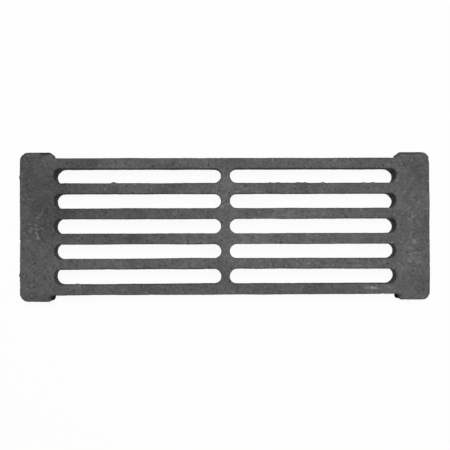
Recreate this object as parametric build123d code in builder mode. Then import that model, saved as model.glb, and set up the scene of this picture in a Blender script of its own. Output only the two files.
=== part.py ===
from build123d import *

import os
from math import atan2, hypot, radians, tan

# Cast-iron fire grate for a solid-fuel kitchen stove, in millimetres.
#
# It is one sand casting. Straight bars run its whole length, between two wider end plates that
# lie on the ledges of the firebox. A cross rib at mid-length ties the bars together, so that the
# gaps between them are long slots with round ends. The flat top carries the fire, and its outline
# is the widest: every side wall leans in towards the underside, as the mould needs, so the slots
# open downwards and what falls into them drops clear.
#
# The origin is the centre of the underside, +X runs along the bars and +Z points up to the fire.

# Driving dimensions, across the top face before its edges are softened
grate_length = 330.0
depth = 15.0  # top face to underside
end_plate_length = 25.0  # full width, from the end of the grate to where the shoulders begin
shoulder_run = 0.8  # over which a shoulder slopes from the end plate's side to the outer bar
shoulder_overhang = 4.6  # how far an end plate stands out past the outer bars, each side
slot_margin = 27.1  # whole iron between the end of the grate and its slots
bar_width = 9.0
slot_width = 11.3
slot_rows = 5
slot_columns = 2
cross_rib_width = 7.3
draft_angle = 3.5  # lean of every side wall, in degrees

# Roundings and bevels left by the pattern
plate_corner_radius = 6.4
shoulder_radius = 2.2  # both bends of a shoulder
rim_radius = 1.0  # along the outline of the top face
slot_bevel = 0.8  # along the slots in the top face
foot_bevel = 1.0  # along every edge of the underside

# Worked out from the driving dimensions
slot_pitch = slot_width + bar_width
bars_width = slot_rows * slot_pitch + bar_width
plate_width = bars_width + 2 * shoulder_overhang
plate_edge = grate_length / 2 - end_plate_length
shoulder_foot = plate_edge - shoulder_run
column_pitch = (grate_length - 2 * slot_margin + cross_rib_width) / slot_columns
slot_length = column_pitch - cross_rib_width

# A shoulder has a bend at each end, and both have to fit on its slope. The outer one tightens on its
# way down, so it starts out wider than the walls lean, and an edge that follows it has to be smaller.
SHARE_OF_SLOPE = 0.48
BEND_FOR_LEAN = 1.5
SHARE_OF_BEND = 0.8
lean = depth * tan(radians(draft_angle))
shoulder_slope = hypot(shoulder_run, shoulder_overhang)
shoulder_turn = atan2(shoulder_overhang, shoulder_run)
largest_bend = SHARE_OF_SLOPE * shoulder_slope / tan(shoulder_turn / 2)
shoulder_bend = min(max(shoulder_radius, BEND_FOR_LEAN * lean), largest_bend)
rim_rounding = min(rim_radius, SHARE_OF_BEND * shoulder_bend)
foot_cut = min(foot_bevel, SHARE_OF_BEND * (shoulder_bend - lean))

with BuildPart() as grate:
    # Outline of the top face, a quarter of it mirrored both ways, and the slots in it
    with BuildSketch():
        with BuildLine():
            Polyline(
                (0, bars_width / 2),
                (shoulder_foot, bars_width / 2),
                (plate_edge, plate_width / 2),
                (grate_length / 2, plate_width / 2),
                (grate_length / 2, 0),
            )
            mirror(about=Plane.YZ)
            mirror(about=Plane.XZ)
        make_face()
        shoulders = vertices().sort_by(Axis.X)[2:-2]
        fillet(shoulders, shoulder_bend)
        ends = vertices().group_by(Axis.X)
        fillet(ends[0] + ends[-1], plate_corner_radius)
        with GridLocations(column_pitch, slot_pitch, slot_columns, slot_rows):
            SlotOverall(slot_length, slot_width, mode=Mode.SUBTRACT)
    extrude(amount=depth)

    # Every side wall, outside and in the slots, leans in on its way down from the top face
    walls = faces().filter_by(Axis.Z, reverse=True)
    draft(walls, -Plane.XY.offset(depth), draft_angle)

    # Soft edges round the top face, along the slots in it and round the underside
    fillet(faces().sort_by(Axis.Z)[-1].outer_wire().edges(), rim_rounding)
    slot_rims = faces().sort_by(Axis.Z)[-1].inner_wires()
    chamfer(slot_rims.edges(), slot_bevel)
    chamfer(faces().sort_by(Axis.Z)[0].edges(), foot_cut)

grate.part.label = "grate"

os.makedirs("parts", exist_ok=True)
export_step(grate.part, "parts/grate.step")
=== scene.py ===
# Looks of a cast-iron stove grate: the rough skin of a sand casting over the grate's own form,
# lying on a white floor under soft studio light and seen from straight above.

import math
import random

import bmesh
import bpy
from mathutils import Matrix, Vector, kdtree, noise


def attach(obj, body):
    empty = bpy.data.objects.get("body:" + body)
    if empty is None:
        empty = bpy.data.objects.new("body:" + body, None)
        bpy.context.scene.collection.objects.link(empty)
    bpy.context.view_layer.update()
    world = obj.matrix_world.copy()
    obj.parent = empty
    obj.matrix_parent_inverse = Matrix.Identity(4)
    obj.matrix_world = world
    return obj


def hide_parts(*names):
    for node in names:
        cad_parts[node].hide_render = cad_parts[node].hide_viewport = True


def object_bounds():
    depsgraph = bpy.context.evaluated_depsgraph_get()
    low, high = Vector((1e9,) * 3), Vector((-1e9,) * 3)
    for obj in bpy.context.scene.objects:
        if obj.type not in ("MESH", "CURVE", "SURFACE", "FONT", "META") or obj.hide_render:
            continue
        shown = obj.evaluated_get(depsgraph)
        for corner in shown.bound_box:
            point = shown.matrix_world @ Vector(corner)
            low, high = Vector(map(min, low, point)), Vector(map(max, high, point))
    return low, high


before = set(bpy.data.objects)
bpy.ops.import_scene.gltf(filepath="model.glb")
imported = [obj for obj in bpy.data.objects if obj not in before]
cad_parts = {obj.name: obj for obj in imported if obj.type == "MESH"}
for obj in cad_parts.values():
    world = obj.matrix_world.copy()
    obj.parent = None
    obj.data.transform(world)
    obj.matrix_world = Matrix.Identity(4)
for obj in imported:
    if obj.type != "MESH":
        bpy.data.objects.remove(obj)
cad_low, cad_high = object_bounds()

MM = 0.001
TOP = cad_high.z

# Camera, from the places of the grate's edges in the photograph
CAMERA_PLACE = Vector((-4.7, -6.9, 444.9)) * MM
CAMERA_AIM = Vector((-0.4, 0.9, 15.0)) * MM
CAMERA_ROLL = math.radians(-0.178)
LENS = 42.72
SENSOR = 36.0

# Grid of the skin: cells of the walls and the underside, each cut in four on the top face
CELL = 1.6 * MM
WELD = 0.12 * MM
SAME_POINT = 0.01 * MM
ON_PLANE = 0.001 * MM
FLAT = math.radians(0.4)
LEVEL = 0.99  # upward part of the normal of a face that counts as level
SEED = 7

# Unevenness of the casting: length and height of each kind
SWELL = (26.0 * MM, 0.22 * MM)
RIPPLE = (7.0 * MM, 0.07 * MM)
SAND = (2.4 * MM, 0.14 * MM)

# Where the casting is out of true: centre, reach and push in millimetres
PUSHES = [
    ((-165.0, 0.0, 7.5), (10.0, 70.0, 30.0), (-0.25, 0.0)),
    ((165.0, -10.0, 7.5), (10.0, 70.0, 30.0), (0.22, 0.0)),
    ((-165.0, 42.0, 7.5), (10.0, 22.0, 30.0), (-0.6, 0.0)),
    ((165.0, 30.0, 7.5), (10.0, 40.0, 30.0), (0.4, 0.0)),
    ((-149.0, -62.0, 7.5), (18.0, 8.0, 30.0), (0.0, -0.7)),
    ((10.0, -30.5, 7.5), (110.0, 7.0, 30.0), (0.0, 0.65)),
    ((-105.0, -45.0, 7.5), (35.0, 3.0, 30.0), (0.0, -0.55)),
]
PUSH_END = 6.0  # squared reaches from its centre, past which a push counts for nothing

# Outer slot ends that are out of true, by the side of the grate and the row from its middle
ROW_PITCH = 20.3
LONG_BELOW = [(1, -1), (1, -2)]
SQUARE_ABOVE = [(1, 2), (1, 1), (1, 0), (-1, 2)]
SHORT_ABOVE = [(1, -1), (1, -2), (-1, 1), (-1, 0), (-1, -1), (-1, -2)]

# Their pushes, as they are on the +X side: centre from the middle of the row, reach and push.
# A square end is opened above and narrowed below, in its +Y corner.
END_PUSHES = [
    (LONG_BELOW, (137.2, 0.0, 0.0), (3.0, 5.0, 7.0), (0.45, 0.0)),
    (SQUARE_ABOVE, (136.2, 4.2, 15.0), (2.8, 2.8, 8.0), (0.7, 0.5)),
    (SQUARE_ABOVE, (135.2, 3.4, 0.0), (2.8, 2.8, 7.0), (-0.5, -0.5)),
    (SHORT_ABOVE, (137.2, -1.5, 15.0), (3.0, 5.0, 8.0), (-0.6, 0.0)),
]

# Lumps left by holes in the mould: place, radius and height in millimetres
LUMPS = [
    ((-165.0, 39.8, 13.2), 1.2, 1.2),
    ((-165.0, -39.1, 13.2), 1.2, 1.2),
    ((-140.0, -58.6, 4.0), 3.0, 0.6),
    ((140.4, -58.2, 4.0), 2.4, 0.8),
    ((-90.1, 34.8, 13.6), 1.7, 1.2),
    ((-119.2, -46.4, 13.6), 2.4, 0.9),
    ((36.4, 34.8, 13.8), 1.2, 0.6),
    ((42.6, 34.8, 13.8), 1.2, 0.7),
    ((58.8, 34.8, 13.8), 1.2, 0.8),
    ((64.2, 34.8, 13.8), 1.2, 0.7),
    ((78.9, 34.8, 13.8), 1.4, 0.9),
    ((112.0, 34.8, 13.8), 1.2, 0.6),
    ((119.6, 34.8, 13.8), 1.2, 0.6),
]

# Bands of short raised dashes on the end plates, at all angles: low corner, high corner, number
# and the painted highlight on them, as a share of grey
DASH_BANDS = [
    ((-152.5, -9.5), (-147.5, 12.5), 11, 1.7),
    ((-158.0, -4.0), (-155.5, 2.0), 3, 1.7),
    ((148.0, -31.0), (157.0, 24.0), 15, 1.35),
]
DASH_LENGTH = (1.2, 3.0)
DASH_RADIUS = 0.6
DASH_HEIGHT = (0.20, 0.45)

# Pits all over the skin: number, radius and depth in millimetres
PITS = 700
PIT_RADIUS = (0.5, 1.2)
PIT_DEPTH = (0.08, 0.35)

# Patches of painted light and shade across the grate: start, end and radius in millimetres, and the
# share of the grey there
PAINTED_LIGHT_AND_SHADE = [
    # Painted light and shade in broad patches across the top, darker on the left plate and the left
    # of the bars
    ((-156.0, 54.0, 15.0), (-152.0, 4.0, 15.0), 20.0, 0.78),
    ((-128.0, 50.0, 15.0), (-128.0, -8.0, 15.0), 8.0, 0.82),
    ((-118.0, 16.0, 15.0), (-72.0, 10.0, 15.0), 22.0, 0.84),
    ((-76.0, -10.0, 15.0), (-76.0, -10.0, 15.0), 6.0, 0.82),
    ((-25.0, -8.0, 15.0), (22.0, -10.0, 15.0), 16.0, 1.22),
    ((14.0, 51.0, 15.0), (14.0, 51.0, 15.0), 7.0, 0.82),
    ((92.0, 30.0, 15.0), (116.0, 30.0, 15.0), 8.0, 1.20),
    ((92.0, -10.0, 15.0), (120.0, -10.0, 15.0), 8.0, 1.18),
    ((-76.0, -31.0, 15.0), (-50.0, -31.0, 15.0), 8.0, 1.15),
    ((30.0, 10.0, 15.0), (115.0, -30.0, 15.0), 28.0, 1.08),
    ((15.0, -51.0, 15.0), (110.0, -51.0, 15.0), 8.0, 0.93),
    ((152.0, 52.0, 15.0), (152.0, 46.0, 15.0), 15.0, 0.82),
    ((152.0, -48.0, 15.0), (152.0, -48.0, 15.0), 15.0, 0.93),
    # Painted shade along the top rims of the end plates
    ((-147.5, 58.7, 14.9), (-141.0, 58.7, 14.9), 1.0, 0.20),
    ((143.0, 58.8, 14.9), (157.0, 58.8, 14.9), 0.9, 0.45),
    # Painted light on the upper shoulder walls
    ((-139.6, 57.6, 3.0), (-139.6, 57.6, 11.5), 3.0, 2.8),
    ((139.6, 57.6, 3.0), (139.6, 57.6, 11.5), 3.0, 2.8),
    # Painted shadow, black, on the lower shoulder walls
    ((-139.6, -57.8, 0.0), (-139.6, -57.8, 11.0), 3.6, 0.0),
    ((139.6, -57.2, 0.0), (139.6, -57.2, 11.0), 3.6, 0.0),
    # Light marks on the lowest bar and on the left plate
    ((112.5, -49.9, 15.0), (121.2, -50.1, 15.0), 0.8, 1.7),
    ((117.5, -50.1, 15.0), (121.2, -50.1, 15.0), 0.9, 1.8),
    ((-149.5, -9.1, 15.0), (-149.5, -9.1, 15.0), 0.7, 2.0),
]

# How a lump, dash, pit or patch of painted light is laid along its line, in radii of the mark
LINE_STEP = 0.5
MARK_REACH = 2.2

# Patterns in the iron: scale, detail and roughness of each noise
FLECKS = (480.0, 3.0, 0.6)
CLOUDS = (45.0, 2.0, 0.5)
MOTTLE = (130.0, 5.0, 0.6)
GRAIN = (700.0, 4.0, 0.55)
NOISE_SPAN = (0.3, 0.7)  # nearly all of a noise lies in it

# Grey of the iron along the flecks, from dark specks to bright specks that are painted glints on
# small facets, and the shares of it that are left by the other patterns, by painted light and shade
# that follow the height of a mark, and by painted shade on walls and edges by how far a face looks up
FLECK_TONES = [(0.29, 0.022), (0.41, 0.089), (0.60, 0.099), (0.75, 0.218)]
CLOUD_SHARE = (0.80, 1.20)
MOTTLE_SHARE = (0.84, 1.16)
RELIEF_SHADE_SPAN = (-0.3, 0.3)
RELIEF_SHADE_SHARE = (0.55, 1.45)
FACING_SPAN = (0.40, 0.96)
FACING_SHARE = (0.55, 1.0)

# Dull shine, less where the painted shade and the darker tone lie, and the finest grain
SHADE_AND_TONE_SPAN = (0.0, 1.0)
SHINE = (0.0, 0.25)
ROUGHNESS = (0.60, 0.88)
BUMP_STRENGTH = 0.6
BUMP_HEIGHT = 0.45 * MM

# Floor: half its width, its distance below the grate, its grey to other light and to the eye, and
# how much of what is seen of it is plain white
FLOOR_HALF = 3.0
FLOOR_GAP = 0.4 * MM
FLOOR_DULL = 0.3
FLOOR_MATT = 0.95
FLOOR_GLOW = 0.94

# Light: strength of the surround, then name, place, width, height and power of each lamp
SURROUND = 0.15
LAMPS = [
    ("top_light", (0.05, 0.35, 1.15), 0.7, 0.5, 10.5),
    ("right_light", (0.30, -0.12, 0.60), 0.25, 0.25, 0.6),
]


def cut_across(skin, axis, step):
    """Cuts a mesh by evenly spaced planes across one axis."""
    span = cad_high[axis] - cad_low[axis]
    count = math.ceil(span / step)
    normal = Vector((0.0, 0.0, 0.0))
    normal[axis] = 1.0
    for k in range(1, count):
        place = normal * (cad_low[axis] + span * k / count)
        everything = skin.verts[:] + skin.edges[:] + skin.faces[:]
        bmesh.ops.bisect_plane(
            skin, geom=everything, dist=ON_PLANE, plane_co=place, plane_no=normal
        )


def on_flat_top(face):
    """Whether a face lies in the flat top of the grate."""
    return face.normal.z > LEVEL and face.calc_center_median().z > TOP - WELD


def even_skin(node, name):
    """A copy of a CAD node, in a grid that is fine enough to carry the roughness of a casting."""
    skin = bmesh.new()
    skin.from_mesh(node.data)
    bmesh.ops.remove_doubles(skin, verts=skin.verts, dist=SAME_POINT)
    bmesh.ops.dissolve_limit(skin, angle_limit=FLAT, verts=skin.verts, edges=skin.edges)
    for axis in range(3):
        cut_across(skin, axis, CELL)
    bmesh.ops.remove_doubles(skin, verts=skin.verts, dist=WELD)
    bmesh.ops.dissolve_degenerate(skin, edges=skin.edges, dist=SAME_POINT)
    flat_top = [face for face in skin.faces if on_flat_top(face)]
    top_edges = list({edge for face in flat_top for edge in face.edges})
    bmesh.ops.subdivide_edges(skin, edges=top_edges, cuts=1, use_grid_fill=True)
    bmesh.ops.triangulate(skin, faces=[face for face in skin.faces if len(face.verts) > 4])
    mesh = bpy.data.meshes.new(name)
    skin.to_mesh(mesh)
    skin.free()
    mesh.shade_smooth()
    piece = bpy.data.objects.new(name, mesh)
    bpy.context.scene.collection.objects.link(piece)
    return piece


def near_line(tree, start, end, radius):
    """The vertices near a line, with a weight that falls from 1 on it to nearly 0 away from it."""
    weights = {}
    steps = math.ceil((end - start).length / (LINE_STEP * radius)) + 1
    for k in range(steps):
        place = start.lerp(end, k / max(steps - 1, 1))
        for _, index, distance in tree.find_range(place, MARK_REACH * radius):
            weight = math.exp(-((distance / radius) ** 2))
            weights[index] = max(weights.get(index, 0.0), weight)
    return weights.items()


def all_pushes():
    """The pushes along the outline and the bars, then those at the slot ends."""
    pushes = list(PUSHES)
    for ends, (x, y, z), reach, (out, across) in END_PUSHES:
        for side, row in ends:
            centre = (side * x, row * ROW_PITCH + y, z)
            pushes.append((centre, reach, (side * out, across)))
    return pushes


def out_of_true(place, pushes):
    """How far a place of the casting lies from where the pattern had it."""
    shift = Vector((0.0, 0.0, 0.0))
    for centre, reach, push in pushes:
        off = sum(((place[axis] / MM - centre[axis]) / reach[axis]) ** 2 for axis in range(3))
        if off < PUSH_END:
            shift += Vector((push[0], push[1], 0.0)) * MM * math.exp(-off)
    return shift


def marks_and_painted_light(mesh):
    """Lumps, dashes and pits, and patches of painted light and shade: start, end and radius, with a
    height or a share of grey.
    """
    draw = random.Random(SEED)
    marks = []
    for place, radius, height in LUMPS:
        marks.append((Vector(place) * MM, Vector(place) * MM, radius * MM, height))
    painted_light_and_shade = []
    for start, end, radius, share in PAINTED_LIGHT_AND_SHADE:
        painted_light_and_shade.append((Vector(start) * MM, Vector(end) * MM, radius * MM, share))
    for low, high, count, shine in DASH_BANDS:
        for k in range(count):
            x = draw.uniform(low[0], high[0])
            y = low[1] + (high[1] - low[1]) * (k + draw.random()) / count
            angle = draw.uniform(0.0, math.pi)
            along = Vector((math.cos(angle), math.sin(angle), 0.0))
            half = along * draw.uniform(*DASH_LENGTH) * MM / 2
            middle = Vector((x * MM, y * MM, TOP))
            start, end, radius = middle - half, middle + half, DASH_RADIUS * MM
            marks.append((start, end, radius, draw.uniform(*DASH_HEIGHT)))
            # Painted highlight on the dash, laid in the tone
            painted_light_and_shade.append((start, end, radius, shine))
    for _ in range(PITS):
        place = mesh.vertices[draw.randrange(len(mesh.vertices))].co.copy()
        radius = draw.uniform(*PIT_RADIUS) * MM
        marks.append((place, place, radius, -draw.uniform(*PIT_DEPTH)))
    return marks, painted_light_and_shade


def work_skin(piece):
    """Gives the even skin the unevenness, lumps, dashes and pits of a used casting, and its patches
    of painted light and shade.
    """
    mesh = piece.data
    tree = kdtree.KDTree(len(mesh.vertices))
    for vertex in mesh.vertices:
        tree.insert(vertex.co, vertex.index)
    tree.balance()

    marks, painted_light_and_shade = marks_and_painted_light(mesh)
    relief = [0.0] * len(mesh.vertices)
    for start, end, radius, height in marks:
        for index, weight in near_line(tree, start, end, radius):
            relief[index] += height * weight
    # Tone: patches of painted light, shade and shadow, and the painted highlights on the dashes
    tone = [1.0] * len(mesh.vertices)
    for start, end, radius, share in painted_light_and_shade:
        for index, weight in near_line(tree, start, end, radius):
            tone[index] *= 1.0 + (share - 1.0) * weight

    pushes = all_pushes()
    moved = []
    for vertex in mesh.vertices:
        height = relief[vertex.index] * MM
        for length, size in (SWELL, RIPPLE, SAND):
            height += size * noise.noise(vertex.co / length)
        moved.append(vertex.co + vertex.normal * height + out_of_true(vertex.co, pushes))
    for vertex, place in zip(mesh.vertices, moved):
        vertex.co = place
    for name, values in (("relief", relief), ("tone", tone)):
        mesh.attributes.new(name, "FLOAT", "POINT").data.foreach_set("value", values)
    mesh.update()


def grey(level):
    """An opaque neutral colour."""
    return (level, level, level, 1.0)


def cast_iron():
    """Dull neutral grey iron: flecked and mottled, with painted glints, painted shade in pits, on
    walls and on edges, and painted light on high spots.
    """
    material = bpy.data.materials.new("cast_iron")
    material.use_nodes = True
    nodes, links = material.node_tree.nodes, material.node_tree.links
    shader = nodes["Principled BSDF"]
    place = nodes.new("ShaderNodeTexCoord")

    def cloud(scale, detail, roughness):
        texture = nodes.new("ShaderNodeTexNoise")
        texture.inputs["Scale"].default_value = scale
        texture.inputs["Detail"].default_value = detail
        texture.inputs["Roughness"].default_value = roughness
        links.new(place.outputs["Object"], texture.inputs["Vector"])
        return texture.outputs["Fac"]

    def spread(source, span, result):
        mapping = nodes.new("ShaderNodeMapRange")
        mapping.inputs["From Min"].default_value = span[0]
        mapping.inputs["From Max"].default_value = span[1]
        mapping.inputs["To Min"].default_value = result[0]
        mapping.inputs["To Max"].default_value = result[1]
        links.new(source, mapping.inputs["Value"])
        return mapping.outputs["Result"]

    def scaled(colour, factor):
        product = nodes.new("ShaderNodeVectorMath")
        product.operation = "SCALE"
        links.new(colour, product.inputs[0])
        links.new(factor, product.inputs["Scale"])
        return product.outputs["Vector"]

    def carried(name):
        attribute = nodes.new("ShaderNodeAttribute")
        attribute.attribute_name = name
        return attribute.outputs["Fac"]

    # Flecks of the iron: dark specks, and bright specks that are painted glints of light on small
    # facets
    flecks = nodes.new("ShaderNodeValToRGB")
    ramp = flecks.color_ramp
    ramp.elements[0].position = FLECK_TONES[0][0]
    ramp.elements[1].position = FLECK_TONES[-1][0]
    for position, _ in FLECK_TONES[1:-1]:
        ramp.elements.new(position)
    for element, (_, tone) in zip(ramp.elements, FLECK_TONES):
        element.color = grey(tone)
    links.new(cloud(*FLECKS), flecks.inputs["Fac"])

    clouds = spread(cloud(*CLOUDS), NOISE_SPAN, CLOUD_SHARE)
    mottle = spread(cloud(*MOTTLE), NOISE_SPAN, MOTTLE_SHARE)
    # Painted shade in pits and painted light on raised marks: the grey follows the height of the
    # relief
    relief_light_and_shade = spread(carried("relief"), RELIEF_SHADE_SPAN, RELIEF_SHADE_SHARE)
    # Painted shade: walls and edges darker the less they face up, times the tone of the patches of
    # painted light and shade
    facing = nodes.new("ShaderNodeSeparateXYZ")
    links.new(place.outputs["Normal"], facing.inputs["Vector"])
    painted_shade_and_tone = nodes.new("ShaderNodeMath")
    painted_shade_and_tone.operation = "MULTIPLY"
    links.new(spread(facing.outputs["Z"], FACING_SPAN, FACING_SHARE), painted_shade_and_tone.inputs[0])
    links.new(carried("tone"), painted_shade_and_tone.inputs[1])
    colour = flecks.outputs["Color"]
    for factor in (clouds, mottle, relief_light_and_shade, painted_shade_and_tone.outputs["Value"]):
        colour = scaled(colour, factor)
    links.new(colour, shader.inputs["Base Color"])
    shine = spread(painted_shade_and_tone.outputs["Value"], SHADE_AND_TONE_SPAN, SHINE)
    links.new(shine, shader.inputs["Specular IOR Level"])

    grain = cloud(*GRAIN)
    links.new(spread(grain, NOISE_SPAN, ROUGHNESS), shader.inputs["Roughness"])
    bump = nodes.new("ShaderNodeBump")
    bump.inputs["Strength"].default_value = BUMP_STRENGTH
    bump.inputs["Distance"].default_value = BUMP_HEIGHT
    links.new(grain, bump.inputs["Height"])
    links.new(bump.outputs["Normal"], shader.inputs["Normal"])
    return material


def where_seen(nodes, links):
    """A factor of 1 for what the camera, a reflection or glass sees directly, and 0 elsewhere."""
    path = nodes.new("ShaderNodeLightPath")
    seen = path.outputs["Is Camera Ray"]
    for other in ("Is Glossy Ray", "Is Transmission Ray"):
        either = nodes.new("ShaderNodeMath")
        either.operation = "MAXIMUM"
        links.new(seen, either.inputs[0])
        links.new(path.outputs[other], either.inputs[1])
        seen = either.outputs["Value"]
    return seen


def floor_white():
    """Seen as white with a faint shadow, and throwing little light back."""
    material = bpy.data.materials.new("floor_white")
    material.use_nodes = True
    nodes, links = material.node_tree.nodes, material.node_tree.links
    nodes.remove(nodes["Principled BSDF"])
    dull = nodes.new("ShaderNodeBsdfDiffuse")
    dull.inputs["Color"].default_value = grey(FLOOR_DULL)
    matt = nodes.new("ShaderNodeBsdfDiffuse")
    matt.inputs["Color"].default_value = grey(FLOOR_MATT)
    glow = nodes.new("ShaderNodeEmission")
    seen = nodes.new("ShaderNodeMixShader")
    seen.inputs["Fac"].default_value = FLOOR_GLOW
    links.new(matt.outputs["BSDF"], seen.inputs[1])
    links.new(glow.outputs["Emission"], seen.inputs[2])
    mix = nodes.new("ShaderNodeMixShader")
    links.new(where_seen(nodes, links), mix.inputs["Fac"])
    links.new(dull.outputs["BSDF"], mix.inputs[1])
    links.new(seen.outputs["Shader"], mix.inputs[2])
    links.new(mix.outputs["Shader"], nodes["Material Output"].inputs["Surface"])
    return material


def white_floor():
    """A wide floor just under the grate."""
    half = FLOOR_HALF
    mesh = bpy.data.meshes.new("floor")
    corners = [(-half, -half, 0), (half, -half, 0), (half, half, 0), (-half, half, 0)]
    mesh.from_pydata(corners, [], [(0, 1, 2, 3)])
    floor = bpy.data.objects.new("floor", mesh)
    floor.location.z = cad_low.z - FLOOR_GAP
    bpy.context.scene.collection.objects.link(floor)
    mesh.materials.append(floor_white())


def soft_box(name, place, width, height, power):
    """A soft rectangular lamp that points at the grate."""
    lamp = bpy.data.lights.new(name, "AREA")
    lamp.shape = "RECTANGLE"
    lamp.size = width
    lamp.size_y = height
    lamp.energy = power
    box = bpy.data.objects.new(name, lamp)
    box.location = place
    box.rotation_euler = (-box.location).to_track_quat("-Z", "Y").to_euler()
    bpy.context.scene.collection.objects.link(box)


def studio_light():
    """A soft light overhead, a small near one above the right end, and a dim surround."""
    world = bpy.data.worlds.new("surround")
    bpy.context.scene.world = world
    world.use_nodes = True
    nodes, links = world.node_tree.nodes, world.node_tree.links
    dim = nodes["Background"]
    dim.inputs["Color"].default_value = grey(1.0)
    dim.inputs["Strength"].default_value = SURROUND
    white = nodes.new("ShaderNodeBackground")
    white.inputs["Color"].default_value = grey(1.0)
    mix = nodes.new("ShaderNodeMixShader")
    links.new(where_seen(nodes, links), mix.inputs["Fac"])
    links.new(dim.outputs["Background"], mix.inputs[1])
    links.new(white.outputs["Background"], mix.inputs[2])
    links.new(mix.outputs["Shader"], nodes["World Output"].inputs["Surface"])

    for name, place, width, height, power in LAMPS:
        soft_box(name, place, width, height, power)


def camera():
    """Looks down on the grate, with +Y at the top of the picture."""
    data = bpy.data.cameras.new("camera")
    data.lens = LENS
    data.sensor_width = SENSOR
    eye = bpy.data.objects.new("camera", data)
    back = (CAMERA_PLACE - CAMERA_AIM).normalized()
    right = Vector((0.0, 1.0, 0.0)).cross(back).normalized()
    turn = Matrix((right, back.cross(right), back)).transposed().to_4x4()
    roll = Matrix.Rotation(CAMERA_ROLL, 4, "Z")
    eye.matrix_world = Matrix.Translation(CAMERA_PLACE) @ turn @ roll
    bpy.context.scene.collection.objects.link(eye)
    bpy.context.scene.camera = eye


casting = even_skin(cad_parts["grate"], "casting")
work_skin(casting)
casting.data.materials.append(cast_iron())
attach(casting, "root")
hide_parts("grate")

white_floor()
studio_light()
camera()
bpy.context.scene.view_settings.view_transform = "Standard"
